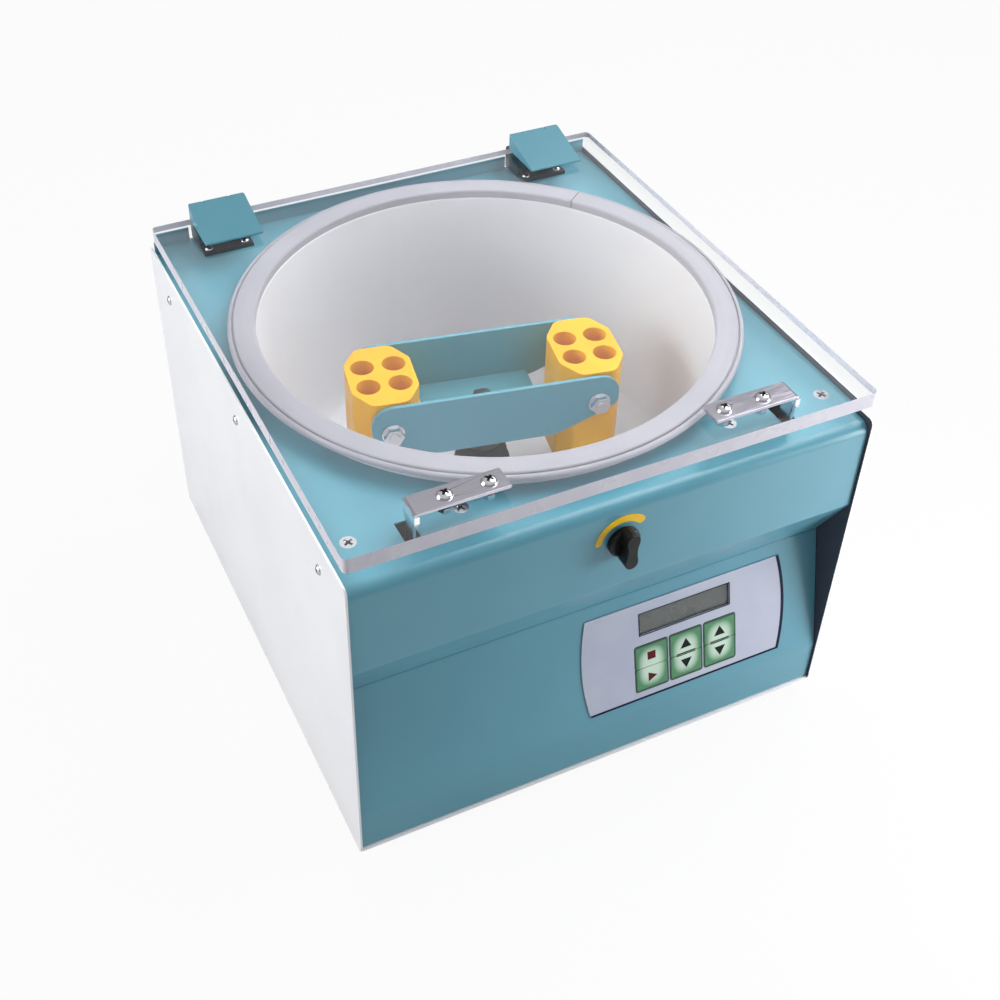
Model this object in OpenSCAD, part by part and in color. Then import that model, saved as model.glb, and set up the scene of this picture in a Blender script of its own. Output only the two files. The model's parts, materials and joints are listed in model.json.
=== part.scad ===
// Tabletop centrifuge for butterfat tests: a sheet metal cabinet with a drawn bowl, a clear lid
// on two rear hinges, a swing-out rotor with two tube buckets, a lock knob and a keypad.
// X is to the right seen from the front, Y to the back, Z up. Inside the modules Y is measured
// from the spindle axis, and place() moves the whole machine so that its box is centred.

/* [Cabinet] */
// Width over the side panels
case_w = 500; // [490:1:560]
// Depth of the side panels
case_d = 540; // [536:1:620]
// Height of the side panels
case_h = 345; // [339:1:380]
// Thickness of the white side panels
side_t = 2; // [1:0.1:3]
// Thickness of the folded teal and rear sheets
sheet_t = 1.5; // [1:0.1:2.5]
// How far the side panels stand in front of the fascia
front_reveal = 3; // [1:0.5:6]
// How far the side panels stand above the top panel
top_reveal = 6; // [1:0.5:10]
// Height of the top panel's turned-up rear edge
rear_rise = 15; // [6:0.5:16]
// Gap between a side panel and the teal sheets
side_gap = 0.5; // [0.2:0.1:1.5]
// Height of the rubber feet
foot_h = 15; // [8:1:30]
// Diameter of the rubber feet
foot_d = 34; // [24:1:45]
// Distance from a foot's centre to the cabinet's outer faces
foot_inset = 46; // [38:1:80]
// Thickness of the base plate
base_t = 2; // [1.5:0.1:3]
// Height of the folded hem on the base plate's front edge
hem_h = 4; // [3.5:0.5:8]

/* [Front panel] */
// Height of the vertical fascia below the top panel
fascia_h = 94.5; // [88:0.5:110]
// How far the control panel's upper edge lies behind the fascia
undercut_d = 34; // [26:0.5:38]
// Height of the slanted underside of the fascia
undercut_h = 59; // [50:0.5:66]
// Height of the upright band below the control panel
band_h = 53; // [35:1:60]
// Radius of the rounded front edge of the top panel
top_edge_r = 10.5; // [4:0.5:14]
// Radius of the other folds
fold_r = 5; // [3:0.5:8]
// Depth of the flanges where two sheets meet
flange_w = 12; // [8:1:16]

/* [Bowl and rim] */
// Inner diameter of the rim ring
rim_d = 430; // [424:1:436]
// Width of the rim ring
rim_w = 26; // [24:0.5:28]
// Thickness of the rim ring
rim_t = 9; // [8:0.5:12]
// Height from the top panel to the lid's underside
rim_h = 21.6; // [18:0.1:28]
// Inner diameter of the bowl at the top panel
bowl_d = 429; // [422:1:430]
// Inner diameter of the bowl where its wall meets the floor
bowl_floor_d = 406; // [400:1:414]
// Depth of the bowl below the top panel
bowl_depth = 202; // [196:1:204]
// Radius between the bowl's wall and floor
bowl_corner_r = 25; // [12:1:30]
// Thickness of the bowl
bowl_t = 1.5; // [1:0.1:2.5]
// Diameter of the hole in the bowl's floor
bowl_hole_d = 84; // [70:1:100]
// Direction of the seam in the rim ring, from the right side
seam_angle = 39.5; // [0:0.5:90]

/* [Lid] */
// Thickness of the clear lid
lid_t = 15; // [10:0.5:18]
// How far the lid's sides lie inside the side panels' outer faces
lid_side_inset = 1; // [0:0.5:6]
// Distance from the lid's rear edge to the cabinet's rear edge
lid_rear_inset = 17.5; // [16:0.5:30]
// Radius of the lid's corners
lid_corner_r = 5; // [3:0.5:25]
// Distance from the cabinet's side to a hinge's middle
hinge_inset = 70; // [50:1:90]
// Width of a hinge cover
hinge_w = 59; // [50:1:70]
// Length of a hinge cover
hinge_l = 59; // [55:1:68]
// Height of a hinge cover at its rear edge
hinge_rise = 17.5; // [14:0.5:22]
// Diameter of a hinge pin
hinge_pin_d = 6; // [4:0.5:7]

/* [Lid lock] */
// Distance from the cabinet's side to the outer face of a latch leg
latch_inset = 69; // [65:1:80]
// Length of a latch bracket along the lid
bracket_l = 84.5; // [74:0.5:100]
// Width of a latch bracket
bracket_w = 23.5; // [20:0.5:26]
// Thickness of a latch bracket
bracket_t = 3; // [2:0.25:3.5]
// Distance from the lid's front edge to the middle of the brackets
bracket_inset = 32.7; // [30:0.1:36]
// How far a latch leg reaches below the top panel
leg_depth = 30; // [28:0.5:36]
// Width of a slot for a latch leg in the top panel
slot_w = 14; // [12:0.5:18]
// Length of a slot for a latch leg
slot_l = 30; // [27:0.5:36]
// Distance from the top panel down to the knob's axis
knob_drop = 40.6; // [38:0.1:44]
// Length of the knob's wing
knob_wing_l = 38; // [32:1:50]
// Width of the knob's wing
knob_wing_w = 12; // [10:0.5:16]
// Diameter of the knob's base
knob_d = 30; // [24:0.5:36]
// How far the knob stands out from the fascia
knob_reach = 18; // [15:0.5:30]
// Diameter of the knob's shaft
knob_shaft_d = 8; // [6:0.5:10]
// Radius from the knob's axis to the crank pin
crank_r = 9.9; // [8:0.1:11]

/* [Rotor] */
// Angle by which the parked rotor is turned clockwise seen from above
park_angle = 10.8; // [0:0.1:45]
// Height of the bucket pivots below the top panel
pivot_drop = 72; // [68:0.5:76]
// Distance from the spindle axis to a bucket pivot
pivot_r = 102; // [98:0.5:104]
// Diameter of a pivot bolt
pivot_d = 10; // [8:0.5:11]
// Distance over the rotor's two side plates
yoke_w = 102.5; // [100:0.5:108]
// Height of the rotor's side plates
yoke_h = 62; // [56:0.5:68]
// Length of the rotor's side plates
yoke_l = 244; // [236:1:256]
// Thickness of the rotor's plates
yoke_t = 4; // [3:0.25:4.5]
// Size of a bucket across the pivot axis
bucket_w = 65; // [63:0.5:67]
// Size of a bucket along the pivot axis
bucket_l = 91; // [88:0.5:91.5]
// Height of a bucket above its pivot
bucket_top = 31; // [28:0.5:34]
// Depth of a bucket below its pivot
bucket_depth = 88; // [84:0.5:97]
// Cut corner of a bucket across the pivot axis
bucket_cut_w = 15; // [10:0.5:17]
// Cut corner of a bucket along the pivot axis
bucket_cut_l = 23; // [18:0.5:26]
// Radius of a bucket's upright corners
bucket_r = 11; // [4:0.5:12]
// Diameter of a tube socket
socket_d = 23.3; // [20:0.1:24]
// Distance between neighbouring tube sockets
socket_pitch = 31; // [28:0.5:32]
// Thickness of a bucket's floor
bucket_floor = 6; // [4:0.5:10]
// Diameter of the motor shaft
shaft_d = 20; // [16:0.5:22]

/* [Motor] */
// Outer diameter of the motor
motor_d = 160; // [150:1:180]
// Gap between the motor cap and the bowl's floor
motor_gap = 8.5; // [4:0.5:12]
// Thickness of the motor housing's wall
motor_wall = 5; // [4:0.5:7]
// Side of the square motor plate
motor_plate_w = 240; // [225:1:270]
// Thickness of the motor plate
motor_plate_t = 4; // [3:0.5:5]
// Height of a rubber damper
damper_h = 20; // [16:0.5:20]
// Diameter of a rubber damper
damper_d = 30; // [24:0.5:36]

/* [Control panel] */
// Distance from the cabinet's middle to the keypad's middle
pad_x = 96; // [80:0.5:110]
// Width of the keypad sheet
pad_w = 213; // [190:1:225]
// Height of the keypad sheet
pad_h = 109; // [104:0.5:111]
// How far the keypad sheet's sides bow outwards
pad_bow = 6.5; // [2:0.5:10]
// Thickness of the keypad sheet
pad_t = 1.2; // [1.1:0.1:2]
// Distance from the upper fold to the keypad sheet
pad_drop = 15; // [8:0.5:17]
// Width of the display window
window_w = 99; // [90:0.5:104]
// Height of the display window
window_h = 23.4; // [20:0.1:26]
// Distance from the sheet's upper edge to the display window
window_drop = 12; // [9:0.5:14]
// Width of a key
key_w = 36.5; // [30:0.5:40]
// Height of a key
key_h = 26.2; // [22:0.1:27]
// Gap between the key columns
key_column_gap = 1.7; // [1:0.1:4]
// Gap between the upper and lower key
key_row_gap = 0.6; // [0.4:0.1:2]
// Distance from the sheet's upper edge to the keys
key_drop = 47; // [42:0.5:49]
// Travel of a key
key_travel = 0.5; // [0.3:0.05:0.6]

/* [Rear panel] */
// Width of a vent slot
vent_w = 60; // [40:1:80]
// Height of a vent slot
vent_h = 5; // [3:0.5:7]
// Distance between neighbouring vent slots
vent_pitch = 14; // [11:0.5:18]
// Height of the mains inlet's middle above the base plate
inlet_rise = 58; // [40:1:80]
// How far the fuse cap stands out from the rear panel
fuse_reach = 6; // [5:0.5:14]

/* [Hidden] */
$fn = 96;
bend_steps = 8;
fit = 0.05;
seat = 0.3;
case_front = -case_d / 2;
case_back = case_d / 2;
fascia_y = case_front + front_reveal;
rear_y = case_back - front_reveal;
rear_wall_y = rear_y - 8.5;
side_corner_r = 6;
top_z = foot_h + case_h - top_reveal;
panel_w = case_w - 2 * (side_t + side_gap);
fascia_foot_z = top_z - fascia_h;
fold_y = fascia_y + undercut_d;
fold_z = fascia_foot_z - undercut_h;
base_z = foot_h + base_t;
sill_z = foot_h + hem_h;
knee_z = foot_h + band_h;
slope_run = [fascia_y - fold_y, knee_z - fold_z];
slope_l = norm(slope_run);
slope_tilt = atan2(-slope_run.x, -slope_run.y);
origin_shift = (knob_reach - fascia_y - rear_y - fuse_reach) / 2;
lid_z = top_z + rim_h;
lid_top = lid_z + lid_t;
lid_w = case_w - 2 * lid_side_inset;
lid_rear_y = case_back - lid_rear_inset;
hinge_x = case_w / 2 - hinge_inset;
knuckle_r = hinge_pin_d;
knuckle_gap = hinge_w / 2;
axle_y = lid_rear_y + knuckle_r + 1.5;
axle_z = lid_z + 7.4;
cover_front_y = lid_rear_y + 3.5 - hinge_l;
cover_rear_y = lid_rear_y + 3.5;
leaf_t = 3;
leaf_bolt_d = 6;
bracket_y = fascia_y + bracket_inset;
leg_x = case_w / 2 - latch_inset;
leg_w = 16;
bend_in = 1;
leg_foot_z = top_z - leg_depth;
lock_hole_z = leg_foot_z + 10;
knob_z = top_z - knob_drop;
crank_drop = crank_r * cos(45);
crank_side = crank_r * sin(45);
lock_travel = 2 * crank_side;
bar_h = 18;
bar_t = 3;
bar_y = fascia_y + 18.3;
bar_z = knob_z - (crank_r + crank_drop) / 2;
spindle_z = top_z - pivot_drop;
plate_y = yoke_w / 2;
floor_z = top_z - bowl_depth;
motor_z = base_z + damper_h + motor_plate_t;
cap_boss_h = 9;
motor_top_z = floor_z - bowl_t - motor_gap - cap_boss_h;
pad_y = -pad_drop - pad_h / 2;
window_y = pad_h / 2 - window_drop - window_h / 2;
keys_y = pad_h / 2 - key_drop - key_h - key_row_gap / 2;
board_depth = 10.4;

knob_bush_d = 18;
head_h = 2.5;
side_screw_ys = [case_front + 60, 0, case_back - 60];
side_screw_z = top_z - 24;
top_head_d = 14;
top_head_h = 1.4;
top_screw_places = [for (x = [22.5 - case_w / 2, 51.7 - leg_x, leg_x - 51.7, case_w / 2 - 22.5])
    [x, fascia_y + 46.4]];
hinge_base_y = lid_rear_y - 30;
hinge_screw_y = lid_rear_y - 22.5;
hinge_screw_xs = [hinge_x - 19, hinge_x + 19];
leaf_bolt_y = lid_rear_y - 20;
leaf_bolt_xs = [hinge_x - 16, hinge_x + 16];
bracket_bolt_xs = [leg_x - bracket_l + 14.5, leg_x - bracket_l + 53.5];
yoke_top_z = spindle_z + 29.4;
yoke_foot_z = yoke_top_z - yoke_h;
web_z = yoke_foot_z + 3.2;
bearing_d = 2.35 * shaft_d;
bearing_t = 14;

// Points of an arc
function arc(middle, r, from, to, steps = bend_steps) =
    [for (i = [0:steps]) let (a = from + (to - from) * i / steps) middle + r * [cos(a), sin(a)]];
function unit(v) = v / norm(v);
function point(c) = [c[0], c[1]];

// A corner b = [x, y, radius] between its neighbours a and c, as the points of its rounding
function corner(a, b, c) =
    b[2] == 0 ? [point(b)] :
    let (
        p = point(b),
        u = unit(point(a) - p),
        v = unit(point(c) - p),
        half = acos(u * v) / 2,
        middle = p + unit(u + v) * b[2] / sin(half),
        first = p + u * b[2] / tan(half) - middle,
        last = p + v * b[2] / tan(half) - middle,
        from = atan2(first.y, first.x),
        swing = atan2(first.x * last.y - first.y * last.x, first * last)
    ) arc(middle, b[2], from, from + swing);

// An open path, and a closed outline, through corners [x, y, radius]
function path(c) = let (n = len(c) - 1)
    [point(c[0]), each [for (i = [1:n - 1]) each corner(c[i - 1], c[i], c[i + 1])], point(c[n])];
function outline(c) = let (n = len(c))
    [for (i = [0:n - 1]) each corner(c[(i + n - 1) % n], c[i], c[(i + 1) % n])];

// A folded sheet: a path and its copy at the distance t to its left, or to its right if t < 0
function mitre(p, i) = let (
        n = len(p) - 1,
        d = unit(p[min(i + 1, n)] - p[min(i, n - 1)]),
        e = unit(p[max(i, 1)] - p[max(i - 1, 0)]),
        s = [-d.y - e.y, d.x + e.x]
    ) 2 * s / (s * s);
function sheet(p, t) = concat(p, [for (i = [len(p) - 1:-1:0]) p[i] + t * mitre(p, i)]);

module place() translate([0, origin_shift, 0]) children();
module both_sides() {
    children();
    mirror([1, 0, 0]) children();
}
module along_x(l) rotate([90, 0, 90]) translate([0, 0, -l / 2]) linear_extrude(l) children();
module along_y(y0, y1) translate([0, y1, 0]) rotate([90, 0, 0]) linear_extrude(y1 - y0) children();
module rod_x(x0, x1, d) translate([x0, 0, 0]) rotate([0, 90, 0]) cylinder(h = x1 - x0, d = d);
module rod_y(y0, y1, d) translate([0, y0, 0]) rotate([-90, 0, 0]) cylinder(h = y1 - y0, d = d);
module rod_z(z0, z1, d) translate([0, 0, z0]) cylinder(h = z1 - z0, d = d);
module block(x0, x1, y0, y1, z0, z1)
    translate([x0, y0, z0]) cube([x1 - x0, y1 - y0, z1 - z0]);
module rounded_rect(w, h, r) {
    square([w - 2 * r, h], center = true);
    square([w, h - 2 * r], center = true);
    for (x = [-1, 1], y = [-1, 1]) translate([x * (w / 2 - r), y * (h / 2 - r)]) circle(r);
}
module slot_shape(w, h) {
    square([w - h, h], center = true);
    for (x = [-1, 1]) translate([x * (w - h) / 2, 0]) circle(d = h);
}
module dome_head(d, h) difference() {
    rotate_extrude() polygon([[0, 0], for (a = [0:15:90]) [d / 2 * cos(a), h * sin(a)]]);
    for (a = [45, 135]) rotate(a) translate([-d / 4, -d / 24, h - 1]) cube([d / 2, d / 12, 2]);
}
module nut(across, h, d) difference() {
    cylinder(h = h, d = across / cos(30), $fn = 6);
    translate([0, 0, -1]) cylinder(h = h + 2, d = d + 2 * fit);
}
module on_slope() translate([0, fold_y, fold_z]) rotate([90 - slope_tilt, 0, 0]) children();
module on_pad() on_slope() translate([pad_x, pad_y, 0]) children();
module on_rotor() rotate([0, 0, -park_angle]) children();

// White side panels, with the screws that hold the teal hood between them
module side_panel() color("whitesmoke") difference() {
    translate([(case_w - side_t) / 2, 0, foot_h + case_h / 2])
        along_x(side_t) rounded_rect(case_d, case_h, side_corner_r);
    for (y = side_screw_ys) translate([0, y, side_screw_z]) rod_x(case_w / 3, case_w, 5.2);
}
module side_panel_left() place() mirror([1, 0, 0]) side_panel();
module side_panel_right() place() side_panel();
module side_screws() place() color("silver") both_sides() for (y = side_screw_ys)
    translate([case_w / 2, y, side_screw_z]) rotate([0, 90, 0]) {
        dome_head(10, head_h);
        rod_z(-side_t - side_gap - sheet_t - 6, 0.5, 5);
        translate([0, 0, -side_t - side_gap - sheet_t - 4]) nut(8, 4, 5);
    }

// Teal hood: top panel, rounded front edge, fascia and its slanted underside in one sheet
module hood_sheet() {
    along_x(panel_w) polygon(sheet(path([
        [rear_wall_y, top_z + rear_rise, 0],
        [rear_wall_y, top_z, 1],
        [fascia_y, top_z, top_edge_r],
        [fascia_y, fascia_foot_z, fold_r],
        [fold_y, fold_z, sheet_t + 1],
        [fold_y + flange_w, fold_z, 0]]), sheet_t));
    both_sides() block(panel_w / 2 - sheet_t, panel_w / 2, fascia_y + 14, rear_y - 16,
        top_z - 38, top_z - sheet_t / 2);
}
module countersink() {
    translate([0, 0, -top_head_h]) cylinder(h = top_head_h + 0.01, d1 = 9, d2 = top_head_d + 0.2);
    rod_z(-20, 0, 6.2);
}
module top_panel() place() color("cadetblue") difference() {
    hood_sheet();
    rod_z(top_z - 10, top_z + 10, bowl_d + 2 * bowl_t + 6);
    both_sides() translate([leg_x - bracket_t / 2, bracket_y + 3.2, top_z])
        cube([slot_w, slot_l, 12], center = true);
    translate([0, 0, knob_z]) rod_y(fascia_y - 1, fascia_y + 5, knob_bush_d + 0.2);
    for (p = top_screw_places) translate([p.x, p.y, top_z]) countersink();
    for (y = side_screw_ys) translate([0, y, side_screw_z]) rod_x(-panel_w, panel_w, 5.2);
    both_sides() {
        block(hinge_x - hinge_w / 2 - 1, hinge_x + hinge_w / 2 + 1, rear_wall_y - 1, rear_y,
            top_z - 2, top_z + rear_rise + 1);
        for (x = hinge_screw_xs) translate([x, hinge_screw_y, 0]) rod_z(top_z - 10, top_z + 10, 5.2);
    }
}
module top_screws() place() color("silver") for (p = top_screw_places) translate([p.x, p.y, top_z]) {
    difference() {
        translate([0, 0, -top_head_h]) cylinder(h = top_head_h, d1 = 8.8, d2 = top_head_d);
        for (a = [30, 120]) rotate(a) translate([-3.5, -0.6, -0.9]) cube([7, 1.2, 2]);
    }
    rod_z(-sheet_t - 9, -1, 6);
    translate([0, 0, -sheet_t - 5]) nut(10, 5, 6);
}

// Teal control panel: a flange under the hood, the slope, the band and a flange on the base
module front_panel() place() color("cadetblue") difference() {
    union() {
        along_x(panel_w) polygon(sheet(path([
            [fold_y + flange_w, fold_z, 0],
            [fold_y, fold_z, sheet_t + 1],
            [fascia_y, knee_z, fold_r],
            [fascia_y, sill_z, sheet_t + 1],
            [fascia_y + flange_w, sill_z, 0]]), sheet_t));
        on_pad() board_places() rod_z(-board_depth, -sheet_t / 2, 6);
    }
    on_pad() translate([0, window_y, -5]) linear_extrude(10)
        square([window_w + 2, window_h + 2], center = true);
}
board_w = pad_w - 22;
board_h = pad_h - 12;
module board_places() for (x = [-1, 1], y = [-1, 1])
    translate([x * (board_w / 2 - 6), y * (board_h / 2 - 6), 0]) children();

// Rear panel with vent slots and the cut-outs of the mains parts
vent_x = panel_w / 2 - 97.5;
inlet_x = vent_x;
fuse_x = inlet_x - 52;
switch_x = inlet_x + 46;
inlet_z = base_z + inlet_rise;
module at_rear(x, z) translate([x, rear_y, z]) rotate([-90, 0, 0]) children();
module rear_panel() place() color("cadetblue") difference() {
    along_x(panel_w) polygon(sheet(path([
        [rear_y - flange_w - 2, base_z, 0],
        [rear_y, base_z, sheet_t + 1],
        [rear_y, top_z - sheet_t, sheet_t + 1],
        [rear_y - flange_w - 2, top_z - sheet_t, 0]]), sheet_t));
    for (x = [-vent_x, 0, vent_x], i = [0:7]) at_rear(x, top_z - 70 - i * vent_pitch)
        translate([0, 0, -10]) linear_extrude(20) slot_shape(vent_w, vent_h);
    at_rear(inlet_x, inlet_z) translate([0, 0, -10]) linear_extrude(20)
        rounded_rect(27.6, 20.6, 2);
    at_rear(fuse_x, inlet_z) rod_z(-10, 10, 12.4);
    at_rear(switch_x, inlet_z) translate([0, 0, -10]) linear_extrude(20)
        square([12.6, 28.6], center = true);
}

// White base plate with side flanges and a hemmed front edge, on four rubber feet
foot_places = [for (x = [-1, 1], y = [-1, 1])
    [x * (case_w / 2 - foot_inset), y * (case_d / 2 - foot_inset)]];
base_w = case_w - 2 * side_t;
base_slot_l = 80;
base_slot_w = 8;
module base_plate() place() color("whitesmoke") difference() {
    union() {
        block(-base_w / 2, base_w / 2, fascia_y - 1, rear_y + 1, foot_h, base_z);
        block(-base_w / 2, base_w / 2, fascia_y - 1, fascia_y + 14, foot_h, sill_z);
        both_sides() block(base_w / 2 - base_t, base_w / 2, fascia_y + 16, rear_y - 20,
            foot_h, base_z + 20);
    }
    for (p = foot_places) translate([p.x, p.y, 0]) rod_z(foot_h - 1, base_z + 1, 6.4);
    for (x = [-60:20:60]) translate([x, 0, foot_h - 1]) rotate(90) linear_extrude(base_t + 2)
        slot_shape(base_slot_l, base_slot_w);
}
module feet() place() color("dimgray") for (p = foot_places) translate([p.x, p.y, 0]) {
    rotate_extrude() polygon([[0, 8], [6, 8], [6, 0], [foot_d / 2 - 4, 0], [foot_d / 2 - 2.5, 1.5],
        [foot_d / 2, foot_h], [0, foot_h]]);
    rod_z(foot_h - 1, base_z + 3, 6);
}

// Drawn bowl, whose turned-down edge stands on the top panel, and the rim ring that covers it
flange_r = bowl_d / 2 + 13;
rim_in = rim_d / 2;
rim_out = rim_in + rim_w;
lip_in = rim_out - 4.5;
groove_h = 3.5;
rim_top_z = lid_z - seat;
rim_foot_z = rim_top_z - rim_t;
module bowl() place() color("gainsboro") rotate_extrude($fn = 180) polygon(sheet(path([
    [bowl_hole_d / 2, floor_z, 0],
    [bowl_floor_d / 2, floor_z, bowl_corner_r],
    [bowl_d / 2, rim_foot_z, bowl_t + 0.5],
    [flange_r, rim_foot_z, bowl_t + 1.5],
    [flange_r, top_z, 0]]), -bowl_t));
module rim_seal() place() color("lightgray") difference() {
    rotate_extrude($fn = 180) polygon(concat(
        path([
            [rim_in, rim_foot_z, 0],
            [rim_in, rim_top_z - 0.5, 2.5],
            [(rim_in + lip_in) / 2, rim_top_z, 60],
            [lip_in - 0.6, rim_top_z - 0.6, 2],
            [lip_in - 0.6, rim_top_z - groove_h, 0]]),
        path([
            [lip_in + 0.4, rim_top_z - groove_h, 0],
            [lip_in + 0.4, rim_top_z - 1.6, 1.2],
            [rim_out, rim_top_z - 2, 2.6],
            [rim_out, rim_top_z - 6.5, 0]]),
        [[flange_r + 3, rim_foot_z - 2.5], [flange_r + seat, rim_foot_z - 2.5],
            [flange_r + seat, rim_foot_z]]));
    rotate(seam_angle) block(rim_in - 5, rim_out + 5, -0.4, 0.4, top_z - 5, lid_z + 5);
}

// Bellows seal round the shaft, seated on the bowl's floor
seal_base_r = bowl_hole_d / 2 + 8;
hub_l = 40;
seal_top_z = web_z - hub_l - 4;
module shaft_seal() place() color("dimgray") rotate_extrude() polygon(concat(
    [[shaft_d / 2 + 2 * seat, floor_z], [seal_base_r, floor_z], [seal_base_r, floor_z + 3]],
    [for (i = [0:4]) each let (z = floor_z + 4 + i * (seal_top_z - floor_z - 4) / 5,
            h = (seal_top_z - floor_z - 4) / 5, r = shaft_d / 2 + 22 - 3 * i)
        [[r, z], [r + 5, z + h * 0.3], [r + 5, z + h * 0.5], [r - 1, z + h * 0.85]]],
    [[shaft_d / 2 + 7, seal_top_z], [shaft_d / 2 + 2 * seat, seal_top_z]]));

// Clear lid with the bolt holes and slots of its fittings
module lid_plate() place() color("lightcyan", 0.4) difference() {
    translate([0, (fascia_y + lid_rear_y) / 2, lid_z]) linear_extrude(lid_t)
        rounded_rect(lid_w, lid_rear_y - fascia_y, lid_corner_r);
    both_sides() {
        for (x = leaf_bolt_xs) translate([x, leaf_bolt_y, 0])
            rod_z(lid_z + 2.5, lid_top + 1, leaf_bolt_d + 2 * fit);
        for (x = bracket_bolt_xs) translate([x, bracket_y, 0]) rod_z(lid_z - 1, lid_top + 1, 6.4);
        block(leg_x - bracket_t - bend_in - seat, leg_x + seat, bracket_y - bracket_w / 2 - seat,
            bracket_y + bracket_w / 2 + seat, lid_z - 1, lid_top + 1);
    }
}

// Polished latch brackets: a plate on the lid, bent down into a leg with a hole for a lock pin
module latch_bracket() color("silver") difference() {
    along_y(bracket_y - bracket_w / 2, bracket_y + bracket_w / 2) polygon(sheet(path([
        [leg_x - bracket_l, lid_top + bracket_t, 0],
        [leg_x, lid_top + bracket_t, bracket_t + bend_in],
        [leg_x, leg_foot_z, 0]]), -bracket_t));
    for (x = bracket_bolt_xs) translate([x, bracket_y, 0]) rod_z(lid_top - 1, lid_top + 5, 6.4);
    for (side = [-1, 1]) translate([leg_x, bracket_y + side * (leg_w + 10) / 2, leg_foot_z])
        cube([20, 10, 2 * (lid_z - 3 - leg_foot_z)], center = true);
    translate([0, bracket_y, lock_hole_z]) rod_x(leg_x - 10, leg_x + 10, 9);
}
module latch_bracket_left() place() mirror([1, 0, 0]) latch_bracket();
module latch_bracket_right() place() latch_bracket();
module lid_bolt(top, grip) {
    translate([0, 0, top]) dome_head(14.5, 4.2);
    rod_z(top - grip - 6, top + 0.5, 6);
    translate([0, 0, top - grip - 5]) nut(10, 5, 6);
}
module bracket_bolts() place() color("silver") both_sides() for (x = bracket_bolt_xs)
    translate([x, bracket_y, 0]) lid_bolt(lid_top + bracket_t, bracket_t + lid_t);

// Rear hinges: bases on the top panel, pins, leaves on the lid and teal covers over the leaves
leaf_half = hinge_w / 2 - 3.5;
base_block_h = 16;
module hinge_base() translate([hinge_x, 0, 0]) difference() {
    union() {
        block(-leaf_half, leaf_half, hinge_base_y, axle_y + knuckle_r, top_z, top_z + 4);
        block(-knuckle_gap / 2, knuckle_gap / 2, axle_y - knuckle_r, axle_y + knuckle_r,
            top_z, top_z + 10);
        for (side = [-1, 1]) translate([side * (leaf_half + knuckle_gap / 2) / 2, 0, 0]) {
            along_x(leaf_half - knuckle_gap / 2) polygon([
                [axle_y + knuckle_r, top_z],
                [axle_y + knuckle_r, axle_z],
                [axle_y - knuckle_r, axle_z],
                [axle_y - knuckle_r, top_z + base_block_h + 1],
                [axle_y - knuckle_r - 1, top_z + base_block_h],
                [hinge_screw_y + 7, top_z + base_block_h],
                [hinge_screw_y + 7, top_z]]);
            translate([0, axle_y, axle_z]) rod_x((knuckle_gap / 2 - leaf_half) / 2,
                (leaf_half - knuckle_gap / 2) / 2, 2 * knuckle_r);
        }
    }
    translate([0, axle_y, axle_z]) rod_x(-hinge_w, hinge_w, hinge_pin_d);
    for (x = hinge_screw_xs) translate([x - hinge_x, hinge_screw_y, 0])
        rod_z(top_z - 1, top_z + 9, 5.2);
}
module hinge_bases() place() color("dimgray") both_sides() hinge_base();
module hinge_pins() place() color("silver") both_sides() translate([hinge_x, axle_y, axle_z])
    rod_x(4 - hinge_w / 2, hinge_w / 2 - 4, hinge_pin_d);
module hinge_screws() place() color("silver") both_sides() for (x = hinge_screw_xs)
    translate([x, hinge_screw_y, top_z + 4]) {
        dome_head(9, head_h);
        rod_z(-4 - sheet_t - 6, 0.5, 5);
        translate([0, 0, -4 - sheet_t - 4]) nut(8, 4, 5);
    }
module hinge_leaf() translate([hinge_x, 0, 0]) difference() {
    union() {
        block(-leaf_half, leaf_half, cover_front_y + 16, cover_rear_y - 6, lid_top, lid_top + leaf_t);
        block(0.4 - knuckle_gap / 2, knuckle_gap / 2 - 0.4, cover_rear_y - 8, axle_y + knuckle_r,
            lid_top, lid_top + leaf_t);
        block(0.4 - knuckle_gap / 2, knuckle_gap / 2 - 0.4, axle_y - knuckle_r, axle_y + knuckle_r,
            axle_z, lid_top + leaf_t);
        translate([0, axle_y, axle_z]) rod_x(0.4 - knuckle_gap / 2, knuckle_gap / 2 - 0.4, 2 * knuckle_r);
    }
    translate([0, axle_y, axle_z]) rod_x(-hinge_w, hinge_w, hinge_pin_d + 2 * fit);
    for (x = leaf_bolt_xs) translate([x - hinge_x, leaf_bolt_y, 0])
        rod_z(lid_top - 1, lid_top + 9, leaf_bolt_d + 2 * fit);
}
module hinge_leaves() place() color("dimgray") both_sides() hinge_leaf();
module leaf_bolts() place() color("silver") both_sides() for (x = leaf_bolt_xs)
    translate([x, leaf_bolt_y, 0]) {
        translate([0, 0, lid_top + leaf_t]) cylinder(h = 3.2, d = 10);
        rod_z(lid_z + 3.5, lid_top + leaf_t + 0.5, leaf_bolt_d);
    }
cover_wall = 2;
cover_front_h = 2;
cover_corner_r = 6;
cover_slope = (hinge_rise - cover_front_h) / hinge_l;
tab_l = 28;
tab_w = 5;
tab_drop = 1;
tab_slit = 1.4;
function cover_z(y) = lid_top + cover_front_h + cover_slope * (y - cover_front_y);
module cover_plan(wall) translate([0, 0, lid_top - 2]) linear_extrude(hinge_rise + 4) polygon(outline([
    [wall - hinge_w / 2, cover_front_y + wall, 1.5],
    [hinge_w / 2 - wall, cover_front_y + wall, 1.5],
    [hinge_w / 2 - wall, cover_rear_y - wall, cover_corner_r - wall],
    [wall - hinge_w / 2, cover_rear_y - wall, cover_corner_r - wall]]));
module cover_cut(drop, back) polygon([
    [cover_rear_y - back, cover_z(cover_rear_y - back) - drop],
    [cover_rear_y + 1, cover_z(cover_rear_y + 1) - drop],
    [cover_rear_y + 1, lid_top + hinge_rise + 3],
    [cover_rear_y - back, lid_top + hinge_rise + 3]]);
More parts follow.
